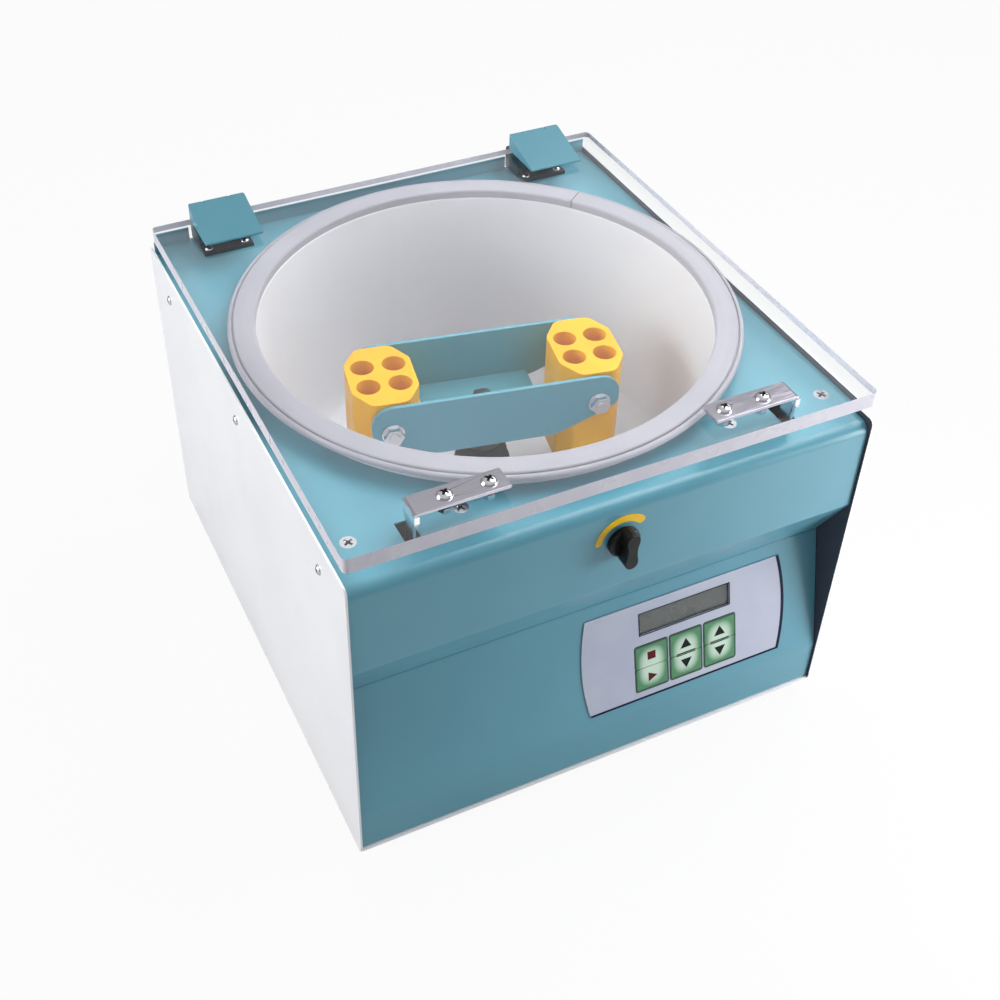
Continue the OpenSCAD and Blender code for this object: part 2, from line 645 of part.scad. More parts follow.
module hinge_cover() translate([hinge_x, 0, 0]) color("cadetblue") difference() {
    intersection() {
        along_x(hinge_w + 2) polygon(outline([
            [cover_front_y, lid_top, 0],
            [cover_front_y, cover_z(cover_front_y), 1],
            [cover_rear_y, cover_z(cover_rear_y), 3],
            [cover_rear_y, lid_top, 0]]));
        cover_plan(0);
    }
    intersection() {
        along_x(hinge_w) polygon([
            [cover_front_y + 8, lid_top - 1],
            [cover_front_y + 8, cover_z(cover_front_y + 8) - cover_wall],
            [cover_rear_y, cover_z(cover_rear_y) - cover_wall],
            [cover_rear_y, lid_top - 1]]);
        cover_plan(cover_wall);
    }
    block(-knuckle_gap / 2, knuckle_gap / 2, cover_rear_y - cover_wall - 1, cover_rear_y + 1,
        lid_top - 1, lid_top + leaf_t + 0.5);
    along_x(tab_l) cover_cut(tab_drop, tab_w);
    for (side = [-1, 1]) translate([side * tab_l / 2, 0, 0]) along_x(tab_slit)
        cover_cut(cover_wall + 1, tab_w);
}
module hinge_cover_left() place() mirror([1, 0, 0]) hinge_cover();
module hinge_cover_right() place() hinge_cover();

// Lid lock: knob, shaft with crank pin, and a sliding bar whose two pins enter the latch legs
knob_gap = 0.5;
bush_end_y = fascia_y + 11;
crank_y = bush_end_y + seat;
crank_t = 4;
module wing_shape() polygon(concat(
    arc([0, knob_wing_l / 2 - knob_wing_w / 2], knob_wing_w / 2, 0, 180),
    [for (i = [-3:3]) [-knob_wing_w / 2 * (1 - 0.25 * cos(30 * i)), -i * knob_wing_l / 11]],
    arc([0, knob_wing_w / 2 - knob_wing_l / 2], knob_wing_w / 2, 180, 360),
    [for (i = [-3:3]) [knob_wing_w / 2 * (1 - 0.25 * cos(30 * i)), i * knob_wing_l / 11]]));
module lock_knob() place() color("black") translate([0, 0, knob_z]) difference() {
    union() {
        translate([0, fascia_y - knob_gap, 0]) rotate([90, 0, 0]) rotate_extrude() polygon([
            [0, 0], [knob_d / 2, 0], [knob_d / 2, 2.5], each arc([knob_d / 2 - 2.5, 3.5], 2.5, 0, 90),
            [0, 6]]);
        along_y(fascia_y - knob_reach, fascia_y - knob_gap - 4) wing_shape();
    }
    rod_y(fascia_y - knob_reach + 4, fascia_y, knob_shaft_d);
}
module knob_shaft() place() color("silver") translate([0, 0, knob_z]) {
    rod_y(fascia_y - knob_reach + 4, crank_y + 1, knob_shaft_d);
    rod_y(crank_y, crank_y + crank_t, 2 * crank_r + 8);
    translate([-crank_side, 0, -crank_drop]) rod_y(crank_y + 1, bar_y + bar_t + 1, 6);
}
module knob_bush() place() color("goldenrod") translate([0, 0, knob_z]) difference() {
    union() {
        rod_y(fascia_y, bush_end_y, knob_bush_d);
        rod_y(fascia_y + sheet_t, fascia_y + sheet_t + 4, knob_bush_d + 10);
    }
    rod_y(fascia_y - 1, bush_end_y + 1, knob_shaft_d + 2 * fit);
}
scale_r = 24;
scale_from = 47;
scale_sweep = 124;
scale_half = 4;
scale_end_half = 3;
function scale_point(i, side) = let (a = scale_from + scale_sweep * i / 16)
    (scale_r + side * (scale_half + (scale_end_half - scale_half) * i / 16)) * [cos(a), sin(a)];
module lock_scale() place() color("gold") translate([0, 0, knob_z]) along_y(fascia_y - 0.4, fascia_y) {
    polygon(concat(
        [for (i = [0:16]) scale_point(i, 1)],
        [for (i = [16:-1:0]) scale_point(i, -1)]));
    translate(scale_point(0, 0)) circle(scale_half);
    translate(scale_point(16, 0)) circle(scale_end_half);
}
finger_t = 3;
pin_d = 6;
pin_l = 23;
right_finger_x = leg_x - bracket_t - 2 - pin_l - finger_t;
left_finger_x = -leg_x - 2 - pin_l - finger_t;
module latch_bar() place() color("silver") difference() {
    union() {
        block(left_finger_x, right_finger_x + finger_t, bar_y, bar_y + bar_t, bar_z - bar_h / 2,
            bar_z + bar_h / 2);
        for (x = [left_finger_x, right_finger_x]) {
            block(x, x + finger_t, bar_y, bracket_y + 6, bar_z - bar_h / 2, lock_hole_z + 6);
            translate([0, bracket_y, lock_hole_z]) rod_x(x + 1, x + finger_t + pin_l, pin_d);
        }
    }
    hull() for (z = [-crank_r, -crank_drop]) translate([-crank_side, 0, knob_z + z])
        rod_y(bar_y - 1, bar_y + bar_t + 1, 6.8);
}
guide_x = leg_x / 2;
module latch_guides() place() color("silver") both_sides() difference() {
    block(guide_x - 10, guide_x + 10, fascia_y + sheet_t, bar_y + bar_t + 3,
        bar_z - bar_h / 2 - 5, bar_z + bar_h / 2 + 5);
    block(guide_x - 15, guide_x + 15, bar_y - seat, bar_y + bar_t + seat,
        bar_z - bar_h / 2 - seat, bar_z + bar_h / 2 + seat);
}
module lid_switch() place() color("black") {
    x0 = leg_x + lock_travel;
    block(x0, x0 + 22, bracket_y - 8, bracket_y + 8, lock_hole_z - 8, top_z - sheet_t);
    translate([0, bracket_y, lock_hole_z]) rod_x(x0 - 2, x0 + 1, 4);
}

// Rotor: yoke, hub, nut, pivot bolts and the two buckets
module yoke_plate_shape() {
    half = yoke_l / 2;
    polygon(outline([
        [half / 2, yoke_foot_z, 40], [half, yoke_foot_z + yoke_h * 0.44, 12], [half, yoke_top_z, 20],
        [-half, yoke_top_z, 20], [-half, yoke_foot_z + yoke_h * 0.44, 12], [-half / 2, yoke_foot_z, 40]]));
}
web_half = pivot_r - 44;
module rotor_yoke() place() color("cadetblue") on_rotor() difference() {
    union() {
        for (side = [-1, 1]) translate([0, side * (yoke_w - yoke_t) / 2, 0])
            along_y(-yoke_t / 2, yoke_t / 2) yoke_plate_shape();
        block(-web_half, web_half, -plate_y + 1, plate_y - 1, web_z, web_z + yoke_t);
    }
    for (side = [-1, 1]) translate([side * pivot_r, 0, spindle_z])
        rod_y(-plate_y - 1, plate_y + 1, pivot_d + 0.2);
    rod_z(web_z - 1, web_z + yoke_t + 1, 12.2);
}
module rotor_hub() place() color("black") difference() {
    rotate_extrude() polygon([[0, web_z - hub_l], [shaft_d / 2 + 8, web_z - hub_l],
        [shaft_d / 2 + 10, web_z - hub_l + 4], [shaft_d / 2 + 10, web_z - 14],
        [shaft_d / 2 + 20, web_z - 6],
        [shaft_d / 2 + 20, web_z], [0, web_z]]);
    rod_z(web_z - 60, web_z + 1, shaft_d + 2 * fit);
}
module rotor_nut() place() color("black") on_rotor() difference() {
    union() {
        rod_z(web_z + yoke_t, web_z + yoke_t + 2, 28);
        translate([0, 0, web_z + yoke_t]) cylinder(h = 13, d = 22 / cos(30), $fn = 6);
        translate([0, 0, web_z + yoke_t + 13]) rotate_extrude()
            polygon([[0, 0], for (a = [0:15:90]) [10 * cos(a), 5 * sin(a)]]);
    }
    rod_z(web_z, web_z + yoke_t + 11, 12 + 2 * fit);
}
washer_t = 1.6;
bolt_nut_t = 6.5;
bolt_inner_y = bucket_l / 2 - 12;
module pivot_bolts() place() color("silver") on_rotor()
    for (x = [-1, 1], side = [0, 180]) rotate(side) translate([x * pivot_r, 0, spindle_z]) {
        rod_y(bolt_inner_y, plate_y + washer_t + bolt_nut_t + 1.5, pivot_d);
        difference() {
            rod_y(plate_y, plate_y + washer_t, 22);
            rod_y(plate_y - 1, plate_y + 5, pivot_d + 2 * fit);
        }
        translate([0, plate_y + washer_t, 0]) rotate([-90, 0, 0]) nut(17, bolt_nut_t, pivot_d);
    }
module motor_shaft() place() color("silver") {
    rod_z(motor_z + bearing_seat_h + seat, web_z - seat, shaft_d);
    rod_z(web_z - 2, web_z + yoke_t + 10, 12);
}
module bucket(side) place() color("gold") on_rotor() translate([side * pivot_r, 0, spindle_z])
    difference() {
        union() {
            translate([0, 0, 4 - bucket_depth]) linear_extrude(bucket_top + bucket_depth - 4)
                bucket_shape(0);
            hull() {
                translate([0, 0, 3 - bucket_depth]) linear_extrude(1.5) bucket_shape(0);
                translate([0, 0, -bucket_depth]) linear_extrude(1) bucket_shape(3);
            }
        }
        for (x = [-0.5, 0.5], y = [-0.5, 0.5]) translate([x * socket_pitch, y * socket_pitch, 0])
            rod_z(bucket_floor - bucket_depth, bucket_top + 1, socket_d);
        for (turn = [0, 180]) rotate(turn) rod_y(bolt_inner_y - 2, bucket_l, pivot_d + 2 * fit);
    }
module bucket_shape(inset) {
    w = bucket_w / 2 - inset;
    l = bucket_l / 2 - inset;
    cut_w = bucket_cut_w;
    cut_l = bucket_cut_l;
    polygon(outline([for (c = [[w, cut_l - l], [w, l - cut_l], [w - cut_w, l], [cut_w - w, l],
        [-w, l - cut_l], [-w, cut_l - l], [cut_w - w, -l], [w - cut_w, -l]]) [c.x, c.y, bucket_r]]));
}
module bucket_left() bucket(-1);
module bucket_right() bucket(1);

// Motor on a plate with four rubber dampers, its shaft carrying the rotor
damper_places = [for (x = [-1, 1], y = [-1, 1]) (motor_plate_w / 2 - damper_d / 2 - 5) * [x, y]];
bearing_seat_h = 3;
module dampers() place() color("dimgray") for (p = damper_places) translate([p.x, p.y, 0]) {
    translate([0, 0, base_z]) rotate_extrude() polygon([[0, 0], [damper_d / 2, 0],
        [damper_d / 2 - 3, damper_h / 2], [damper_d / 2, damper_h], [0, damper_h]]);
}
module motor_plate() place() color("silver") difference() {
    translate([0, 0, base_z + damper_h]) linear_extrude(motor_plate_t)
        rounded_rect(motor_plate_w, motor_plate_w, 12);
    for (p = damper_places) translate([p.x, p.y, 0]) rod_z(base_z, motor_z + 1, 6.2);
}
module motor_housing() place() color("dimgray") difference() {
    union() {
        rod_z(motor_z, motor_top_z, motor_d);
        for (a = [0:15:345]) rotate(a) block(motor_d / 2 - 1, motor_d / 2 + 6, -1.5, 1.5,
            motor_z + 12, motor_top_z - 4);
    }
    difference() {
        rod_z(motor_z + motor_wall, motor_top_z + 1, motor_d - 2 * motor_wall);
        rod_z(motor_z, motor_z + bearing_seat_h + bearing_t, bearing_d + 14);
    }
    rod_z(motor_z + bearing_seat_h, motor_top_z, bearing_d + 0.02);
}
module motor_cap() place() color("dimgray") difference() {
    union() {
        rod_z(motor_top_z, motor_top_z + 5, motor_d);
        rod_z(motor_top_z - bearing_t + 3, motor_top_z + cap_boss_h, bearing_d + 14);
    }
    rod_z(motor_top_z - bearing_t, motor_top_z + 6, bearing_d + 0.02);
    rod_z(motor_top_z, motor_top_z + 20, shaft_d + 2);
}
module bearings() place() color("silver")
    for (z = [motor_z + bearing_seat_h, motor_top_z + 6 - bearing_t]) difference() {
        rod_z(z, z + bearing_t, bearing_d);
        rod_z(z - 1, z + bearing_t + 1, shaft_d + 2 * fit);
    }
stator_low_z = motor_z + bearing_seat_h + bearing_t + 4;
stator_high_z = motor_top_z - bearing_t - 2;
module stator() place() color("peru") difference() {
    rod_z(stator_low_z, stator_high_z, motor_d - 2 * motor_wall - 0.1);
    rod_z(stator_low_z - 1, stator_high_z + 1, motor_d * 0.56);
}
module armature() place() color("gray") difference() {
    rod_z(stator_low_z + 2, stator_high_z - 2, motor_d * 0.56 - 1);
    rod_z(stator_low_z, stator_high_z, shaft_d + 2 * fit);
}

// Keypad sheet with bowed sides, its keys, the display and the board behind it
module pad_shape() polygon([
    for (i = [0:12]) let (t = i / 6 - 1) [pad_w / 2 + pad_bow * (1 - t * t), t * pad_h / 2],
    for (i = [0:12]) let (t = 1 - i / 6) [-pad_w / 2 - pad_bow * (1 - t * t), t * pad_h / 2]]);
module at_key(column, row) on_pad() translate([column * (key_w + key_column_gap),
    keys_y + row * (key_h + key_row_gap) / 2, 0]) children();
module keypad_sheet() place() color("lavender") difference() {
    on_pad() linear_extrude(pad_t) pad_shape();
    on_pad() translate([0, window_y, -1]) linear_extrude(5) square([window_w, window_h], center = true);
    for (column = [-1:1]) at_key(column, 0) translate([0, 0, -1]) linear_extrude(5)
        rounded_rect(key_w + 0.6, 2 * key_h + key_row_gap + 0.6, 3);
}
module key(column, row) place() color("mediumseagreen") at_key(column, row)
    translate([0, 0, key_travel + 0.1]) linear_extrude(pad_t + 0.3 - key_travel)
        rounded_rect(key_w, key_h, 2.7);
module key_stop() key(-1, 1);
module key_start() key(-1, -1);
module key_time_up() key(0, 1);
module key_time_down() key(0, -1);
module key_speed_up() key(1, 1);
module key_speed_down() key(1, -1);
module display_window() place() color("dimgray", 0.5) on_pad() translate([0, window_y, -sheet_t])
    linear_extrude(sheet_t) square([window_w + 1.4, window_h + 1.4], center = true);
module display_module() place() color("darkslategray") on_pad()
    translate([0, window_y, -board_depth]) linear_extrude(board_depth - sheet_t - seat)
        square([window_w + 7, window_h + 12], center = true);
module control_board() place() color("seagreen") on_pad() {
    translate([0, 0, -board_depth - 1.6]) linear_extrude(1.6)
        square([board_w, board_h], center = true);
    for (x = [-60, -20, 30]) translate([x, keys_y, -board_depth - 5]) linear_extrude(3.5)
        square([24, 12], center = true);
}

// Mains parts and the motor drive at the rear
module power_inlet() place() color("black") at_rear(inlet_x, inlet_z) difference() {
    union() {
        linear_extrude(3) rounded_rect(50, 24, 3);
        translate([0, 0, -22]) linear_extrude(23) rounded_rect(27, 20, 2);
    }
    difference() {
        translate([0, 0, -14]) linear_extrude(20) rounded_rect(24, 16, 2);
        for (x = [-7, 0, 7]) translate([x - 1, x == 0 ? 0 : -4, -16]) cube([2, 4, 15]);
    }
}
module fuse_holder() place() color("black") at_rear(fuse_x, inlet_z) {
    rod_z(0, 2, 18);
    rod_z(-32, 1, 12);
    rod_z(1, fuse_reach, 14);
}
rocker_tilt = 10;
module switch_frame() place() color("black") at_rear(switch_x, inlet_z) difference() {
    union() {
        linear_extrude(2) rounded_rect(16, 32, 1.5);
        translate([0, 0, -18]) linear_extrude(19) square([12, 28], center = true);
    }
    translate([0, 0, -12]) linear_extrude(20) square([9.4, 26], center = true);
}
module power_rocker() place() color("darkred") translate([switch_x, rear_y - 5, inlet_z])
    rotate([rocker_tilt, 0, 0]) along_x(8.8) polygon([
        [-3, -5], [3, -10.6], [8, -11], [5.5, 0], [8, 11], [3, 10.6], [-3, 5]]);
drive_w = 0.28 * base_w;
drive_l = 0.17 * case_d;
drive_stand = 10;
drive_x = 58 + drive_w / 2 - base_w / 2;
drive_y = rear_y - 37 - drive_l / 2;
module drive_board() place() color("seagreen") translate([drive_x, drive_y, base_z]) {
    translate([0, 0, drive_stand]) linear_extrude(2) square([drive_w, drive_l], center = true);
    for (x = [-1, 1], y = [-1, 1]) translate([x * (drive_w / 2 - 8), y * (drive_l / 2 - 8), 0])
        rod_z(0, drive_stand + 1, 8);
    translate([-drive_w / 4, drive_l / 9, drive_stand + 1]) cylinder(h = 40, d = 0.4 * drive_l);
    for (i = [0:5]) block(drive_w / 14 + i * 8, drive_w / 14 + 4 + i * 8, -0.39 * drive_l, 0.39 * drive_l,
        drive_stand + 1, drive_stand + 30);
    block(drive_w / 14 - 2, drive_w / 14 + 46, -0.39 * drive_l, 0.39 * drive_l,
        drive_stand + 1, drive_stand + 6);
}

side_panel_left();
side_panel_right();
top_panel();
front_panel();
rear_panel();
base_plate();
feet();
bowl();
rim_seal();
hinge_bases();
hinge_pins();
hinge_screws();
top_screws();
side_screws();
knob_bush();
lock_scale();
latch_guides();
lid_switch();
motor_plate();
dampers();
motor_housing();
motor_cap();
stator();
bearings();
shaft_seal();
keypad_sheet();
display_window();
display_module();
control_board();
power_inlet();
fuse_holder();
switch_frame();
power_rocker();
drive_board();
lid_plate();
latch_bracket_left();
latch_bracket_right();
bracket_bolts();
hinge_leaves();
hinge_cover_left();
hinge_cover_right();
leaf_bolts();
lock_knob();
knob_shaft();
latch_bar();
rotor_yoke();
rotor_hub();
rotor_nut();
pivot_bolts();
motor_shaft();
armature();
bucket_left();
bucket_right();
key_stop();
key_start();
key_time_up();
key_time_down();
key_speed_up();
key_speed_down();
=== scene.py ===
"""The looks of a bench centrifuge for butterfat tubes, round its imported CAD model."""
import json
import math

import bmesh
import bpy
from mathutils import Matrix, Vector


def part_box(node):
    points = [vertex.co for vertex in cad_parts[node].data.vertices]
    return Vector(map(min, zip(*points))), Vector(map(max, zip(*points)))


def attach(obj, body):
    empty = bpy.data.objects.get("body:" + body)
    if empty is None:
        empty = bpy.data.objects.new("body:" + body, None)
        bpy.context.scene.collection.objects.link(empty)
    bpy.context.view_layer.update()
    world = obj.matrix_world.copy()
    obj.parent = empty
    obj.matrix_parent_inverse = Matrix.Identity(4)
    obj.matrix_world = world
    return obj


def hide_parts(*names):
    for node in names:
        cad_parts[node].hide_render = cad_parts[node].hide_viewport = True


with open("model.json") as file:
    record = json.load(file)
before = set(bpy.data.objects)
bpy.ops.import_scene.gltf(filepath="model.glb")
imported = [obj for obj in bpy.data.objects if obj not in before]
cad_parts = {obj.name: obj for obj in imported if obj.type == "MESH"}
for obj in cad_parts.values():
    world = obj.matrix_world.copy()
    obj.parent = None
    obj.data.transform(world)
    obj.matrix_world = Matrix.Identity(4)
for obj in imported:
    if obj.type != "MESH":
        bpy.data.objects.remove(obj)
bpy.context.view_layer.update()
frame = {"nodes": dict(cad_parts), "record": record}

MM = 0.001

# The camera, solved from the photograph
CAMERA_PLACE = (-0.49487, -0.97642, 1.13702)
CAMERA_YAW, CAMERA_PITCH, CAMERA_ROLL = 25.98, 40.75, 0.94
CAMERA_LENS, CAMERA_SENSOR = 50.79, 36.0
CAMERA_SHIFT = (0.03237, -0.03732)

# The control panel's upper and lower folds, and the keypad's middle between them
SHIFT_Y = 0.006
FOLD = Vector((0, -0.233 + SHIFT_Y, 0.2005))
KNEE = Vector((0, -0.267 + SHIFT_Y, 0.068))
PAD_X, PAD_DROP = 0.096, 0.0695
PAD_UP = (FOLD - KNEE).normalized()
PAD_RIGHT = Vector((1, 0, 0))
PAD_OUT = PAD_RIGHT.cross(PAD_UP)
PAD_MIDDLE = FOLD - PAD_UP * PAD_DROP + PAD_RIGHT * PAD_X
PAD_T = 0.0012
PAD_W, PAD_H, PAD_BOW = 0.213, 0.109, 0.0065
WINDOW_W, WINDOW_H, WINDOW_V = 0.099, 0.0234, 0.0308
KEYS_V = -0.019
KEY_TOP = 0.0016
KEY_W, KEY_H, KEY_COLUMN, KEY_ROW = 0.0365, 0.0262, 0.0382, 0.0134

# The prints: their thickness, the arrows and bar on a key, the stop and start signs, the film's lines
PRINT_T = 0.00006
ARROW_HALF_W, ARROW_BASE, ARROW_TIP = 0.0062, 0.0066, 0.0172
BAR_W, BAR_H, BAR_V = 0.021, 0.0011, 0.00095
SIGN_IN, STOP_SIDE = 0.0012, 0.0088
START_BACK, START_TIP, START_HALF_H = 0.0042, 0.0056, 0.0052
FRAME_LINE = 0.0011
EDGE_LINE, EDGE_STEPS = 0.0033, 16
FOOT_LINE, FOOT_UP, FOOT_SHORT = 0.0023, 0.0012, 0.002
FILM_TOP = PAD_T + 0.0001
CELL_W, CELL_H = 0.0055, 0.0085

# The cross recesses of the screws: places, turn about the axis, arm length and width, and depth
TOP_Z, LID_TOP = 0.354, 0.3906
RECESSES = {
    "bracket_bolts": ([(side * x, -0.2283, LID_TOP + 0.0072) for side in (-1, 1) for x in (0.111, 0.150)],
                      45, 0.0088, 0.0024, 0.0022),
    "top_screws": ([(side * x, -0.2146, TOP_Z) for side in (-1, 1) for x in (0.1293, 0.2275)],
                   30, 0.0086, 0.0022, 0.0011),
    "hinge_screws": ([(side * x, 0.236, TOP_Z + 0.0065) for side in (-1, 1) for x in (0.161, 0.199)],
                     45, 0.0056, 0.0015, 0.0014),
    "side_screws": ([(side * 0.2525, y, 0.33) for side in (-1, 1) for y in (-0.204, 0.006, 0.216)],
                    45, 0.0062, 0.0016, 0.0014)}
SIDEWAYS = {"side_screws"}
RECESS_FOOT, ABOVE_HEAD = 0.62, 0.002

# The copies of the CAD nodes: how near points are joined, and the angles in degrees up to which faces
# are joined, from which edges are rounded, and up to which faces are shaded as one
WELD = 2e-6
JOIN_ANGLE, ROUND_ANGLE, SMOOTH_ANGLE = 0.3, 40, 50

# The lid's edges: how far in from its outline they reach, and what part of their normals may point up
LID_EDGE_BAND, EDGE_UPWARD = 0.006, 0.7
# The least part of its normal that an inner face of a side panel points inwards; these faces get a dark
# colour that is partly paint and partly painted shade
FACES_INWARD = 0.9

# The light: the world's strength and tint, what mirrors see at the horizon and overhead and how high
# that change lies, and how bright the floor looks
AMBIENT, AMBIENT_TINT = 0.25, (0.96, 0.98, 1, 1)
MIRROR_SKY, SKY_RISE = (0.04, 0.52), (0.15, 0.95)
FLOOR_GLOW, FLOOR_HALF = 0.94, 14

# The lamps: place, aim, size in metres and power in watts
LAMPS = {
    "left_lamp": ((-2.7, 0.5, 1.1), (0, 0, 0.2), (1.6, 1.8), 58),
    "top_lamp": ((1.2, 0.1, 1.9), (0, 0, 0.3), (1.6, 1.6), 31),
    "front_lamp": ((0.72, -0.64, 0.34), (0.15, -0.25, 0.27), (0.4, 0.4), 5.0)}


def srgb(r, g, b):
    """A colour as it looks on screen, 0 to 255, as the linear colour of a shader."""
    def linear(c):
        c /= 255
        return c / 12.92 if c <= 0.04045 else ((c + 0.055) / 1.055) ** 2.4
    return (linear(r), linear(g), linear(b), 1.0)


# Materials

def add_node(tree, kind, *inputs, **settings):
    """A new node with its settings, and a value or a link for each of its first inputs."""
    n = tree.nodes.new(kind)
    for key, value in settings.items():
        setattr(n, key, value)
    for socket, value in zip(n.inputs, inputs):
        if isinstance(value, bpy.types.NodeSocket):
            tree.links.new(value, socket)
        else:
            socket.default_value = value
    return n


class Finish:
    """A material with one Principled shader and short ways to add the nodes that drive it."""

    def __init__(self, name, colour, rough=0.4, metal=0.0, **sockets):
        self.material = bpy.data.materials.new(name)
        self.material.use_nodes = True
        self.tree = self.material.node_tree
        self.shader = self.tree.nodes["Principled BSDF"]
        self.output = self.tree.nodes["Material Output"]
        self.shader.inputs["Base Color"].default_value = colour
        self.shader.inputs["Roughness"].default_value = rough
        self.shader.inputs["Metallic"].default_value = metal
        for key, value in sockets.items():
            self.shader.inputs[key.replace("_", " ")].default_value = value
        self.colour = colour
        self.coords = self.tree.nodes.new("ShaderNodeTexCoord").outputs["Object"]

    def link(self, source, target):
        if isinstance(target, str):
            target = self.shader.inputs[target]
        self.tree.links.new(source, target)

    def node(self, kind, *inputs, **settings):
        return add_node(self.tree, kind, *inputs, **settings)

    def math(self, operation, *inputs):
        return self.node("ShaderNodeMath", *inputs, operation=operation).outputs[0]

    def along(self, axis, middle):
        """How far a point lies from middle along axis, in metres."""
        away = self.node("ShaderNodeVectorMath", self.coords, middle, operation="SUBTRACT")
        dot = self.node("ShaderNodeVectorMath", away.outputs[0], tuple(axis), operation="DOT_PRODUCT")
        return dot.outputs["Value"]

    def noise(self, scale, detail=2.0, stretch=(1, 1, 1)):
        placed = self.node("ShaderNodeMapping", self.coords)
        placed.inputs["Scale"].default_value = stretch
        n = self.node("ShaderNodeTexNoise", placed.outputs[0])
        n.inputs["Scale"].default_value = scale
        n.inputs["Detail"].default_value = detail
        return n.outputs["Fac"]

    def between(self, fac, low, high, low_in=0.0, high_in=1.0):
        """A smooth step from low to high, as fac goes from low_in to high_in."""
        return self.node("ShaderNodeMapRange", fac, low_in, high_in, low, high,
                         interpolation_type="SMOOTHSTEP").outputs[0]

    def blend(self, fac, first, second):
        """The first colour where fac is 0 and the second where it is 1."""
        n = self.tree.nodes.new("ShaderNodeMix")
        n.data_type = "RGBA"
        for socket, value in ((n.inputs[0], fac), (n.inputs[6], first), (n.inputs[7], second)):
            if isinstance(value, bpy.types.NodeSocket):
                self.tree.links.new(value, socket)
            else:
                socket.default_value = value
        return n.outputs[2]

    def mottle(self, second, scale=6.0, detail=3.0, low=0.35, high=0.65, stretch=(1, 1, 1)):
        """The base colour wanders between the first colour and a second one."""
        fac = self.between(self.noise(scale, detail, stretch), 0, 1, low, high)
        self.link(self.blend(fac, self.colour, second), "Base Color")
        return self

    def gloss(self, low, high, scale=40.0, detail=3.0, stretch=(1, 1, 1)):
        """The roughness wanders between low and high."""
        self.link(self.between(self.noise(scale, detail, stretch), low, high, 0.3, 0.7), "Roughness")
        return self

    def bump(self, height, depth, strength=0.5):
        n = self.node("ShaderNodeBump")
        n.inputs["Strength"].default_value = strength
        n.inputs["Distance"].default_value = depth
        self.tree.links.new(height, n.inputs["Height"])
        self.link(n.outputs[0], "Normal")
        return self

    def grain(self, scale, depth, strength=0.5, detail=2.0, stretch=(1, 1, 1)):
        return self.bump(self.noise(scale, detail, stretch), depth, strength)

    def clear_to_lamps(self, tint):
        """Light from the lamps passes straight through, with this tint."""
        clear = self.node("ShaderNodeBsdfTransparent", tint)
        path = self.node("ShaderNodeLightPath")
        mixed = self.node("ShaderNodeMixShader", path.outputs["Is Shadow Ray"], self.shader.outputs[0],
                          clear.outputs[0])
        self.link(mixed.outputs[0], self.output.inputs["Surface"])
        return self


def enamel(name, colour, second, rough=(0.28, 0.36)):
    """Stoved paint on sheet metal: nearly even colour, a faint orange peel and a clear top."""
    f = Finish(name, colour, rough[0], Coat_Weight=0.25, Coat_Roughness=0.12)
    return f.mottle(second, 5).gloss(*rough, scale=25).grain(700, 0.00005, 0.25).material


def clear_acrylic():
    """Cast acrylic, clear and smooth."""
    f = Finish("clear_acrylic", (0.985, 0.995, 0.995, 1), 0.0, Transmission_Weight=1.0, IOR=1.49)
    return f.clear_to_lamps((0.93, 0.96, 0.96, 1)).material


def lid_edge():
    """The sawn and polished edges of the lid, opaque and pale: partly a frosted surface, partly a painted
    highlight for the light the acrylic carries to its edges.
    """
    f = Finish("acrylic_edge_with_painted_highlight", srgb(216, 214, 224), 0.3)
    return f.mottle(srgb(208, 206, 218), 30, 2, 0.3, 0.7).gloss(0.26, 0.34, 60).material


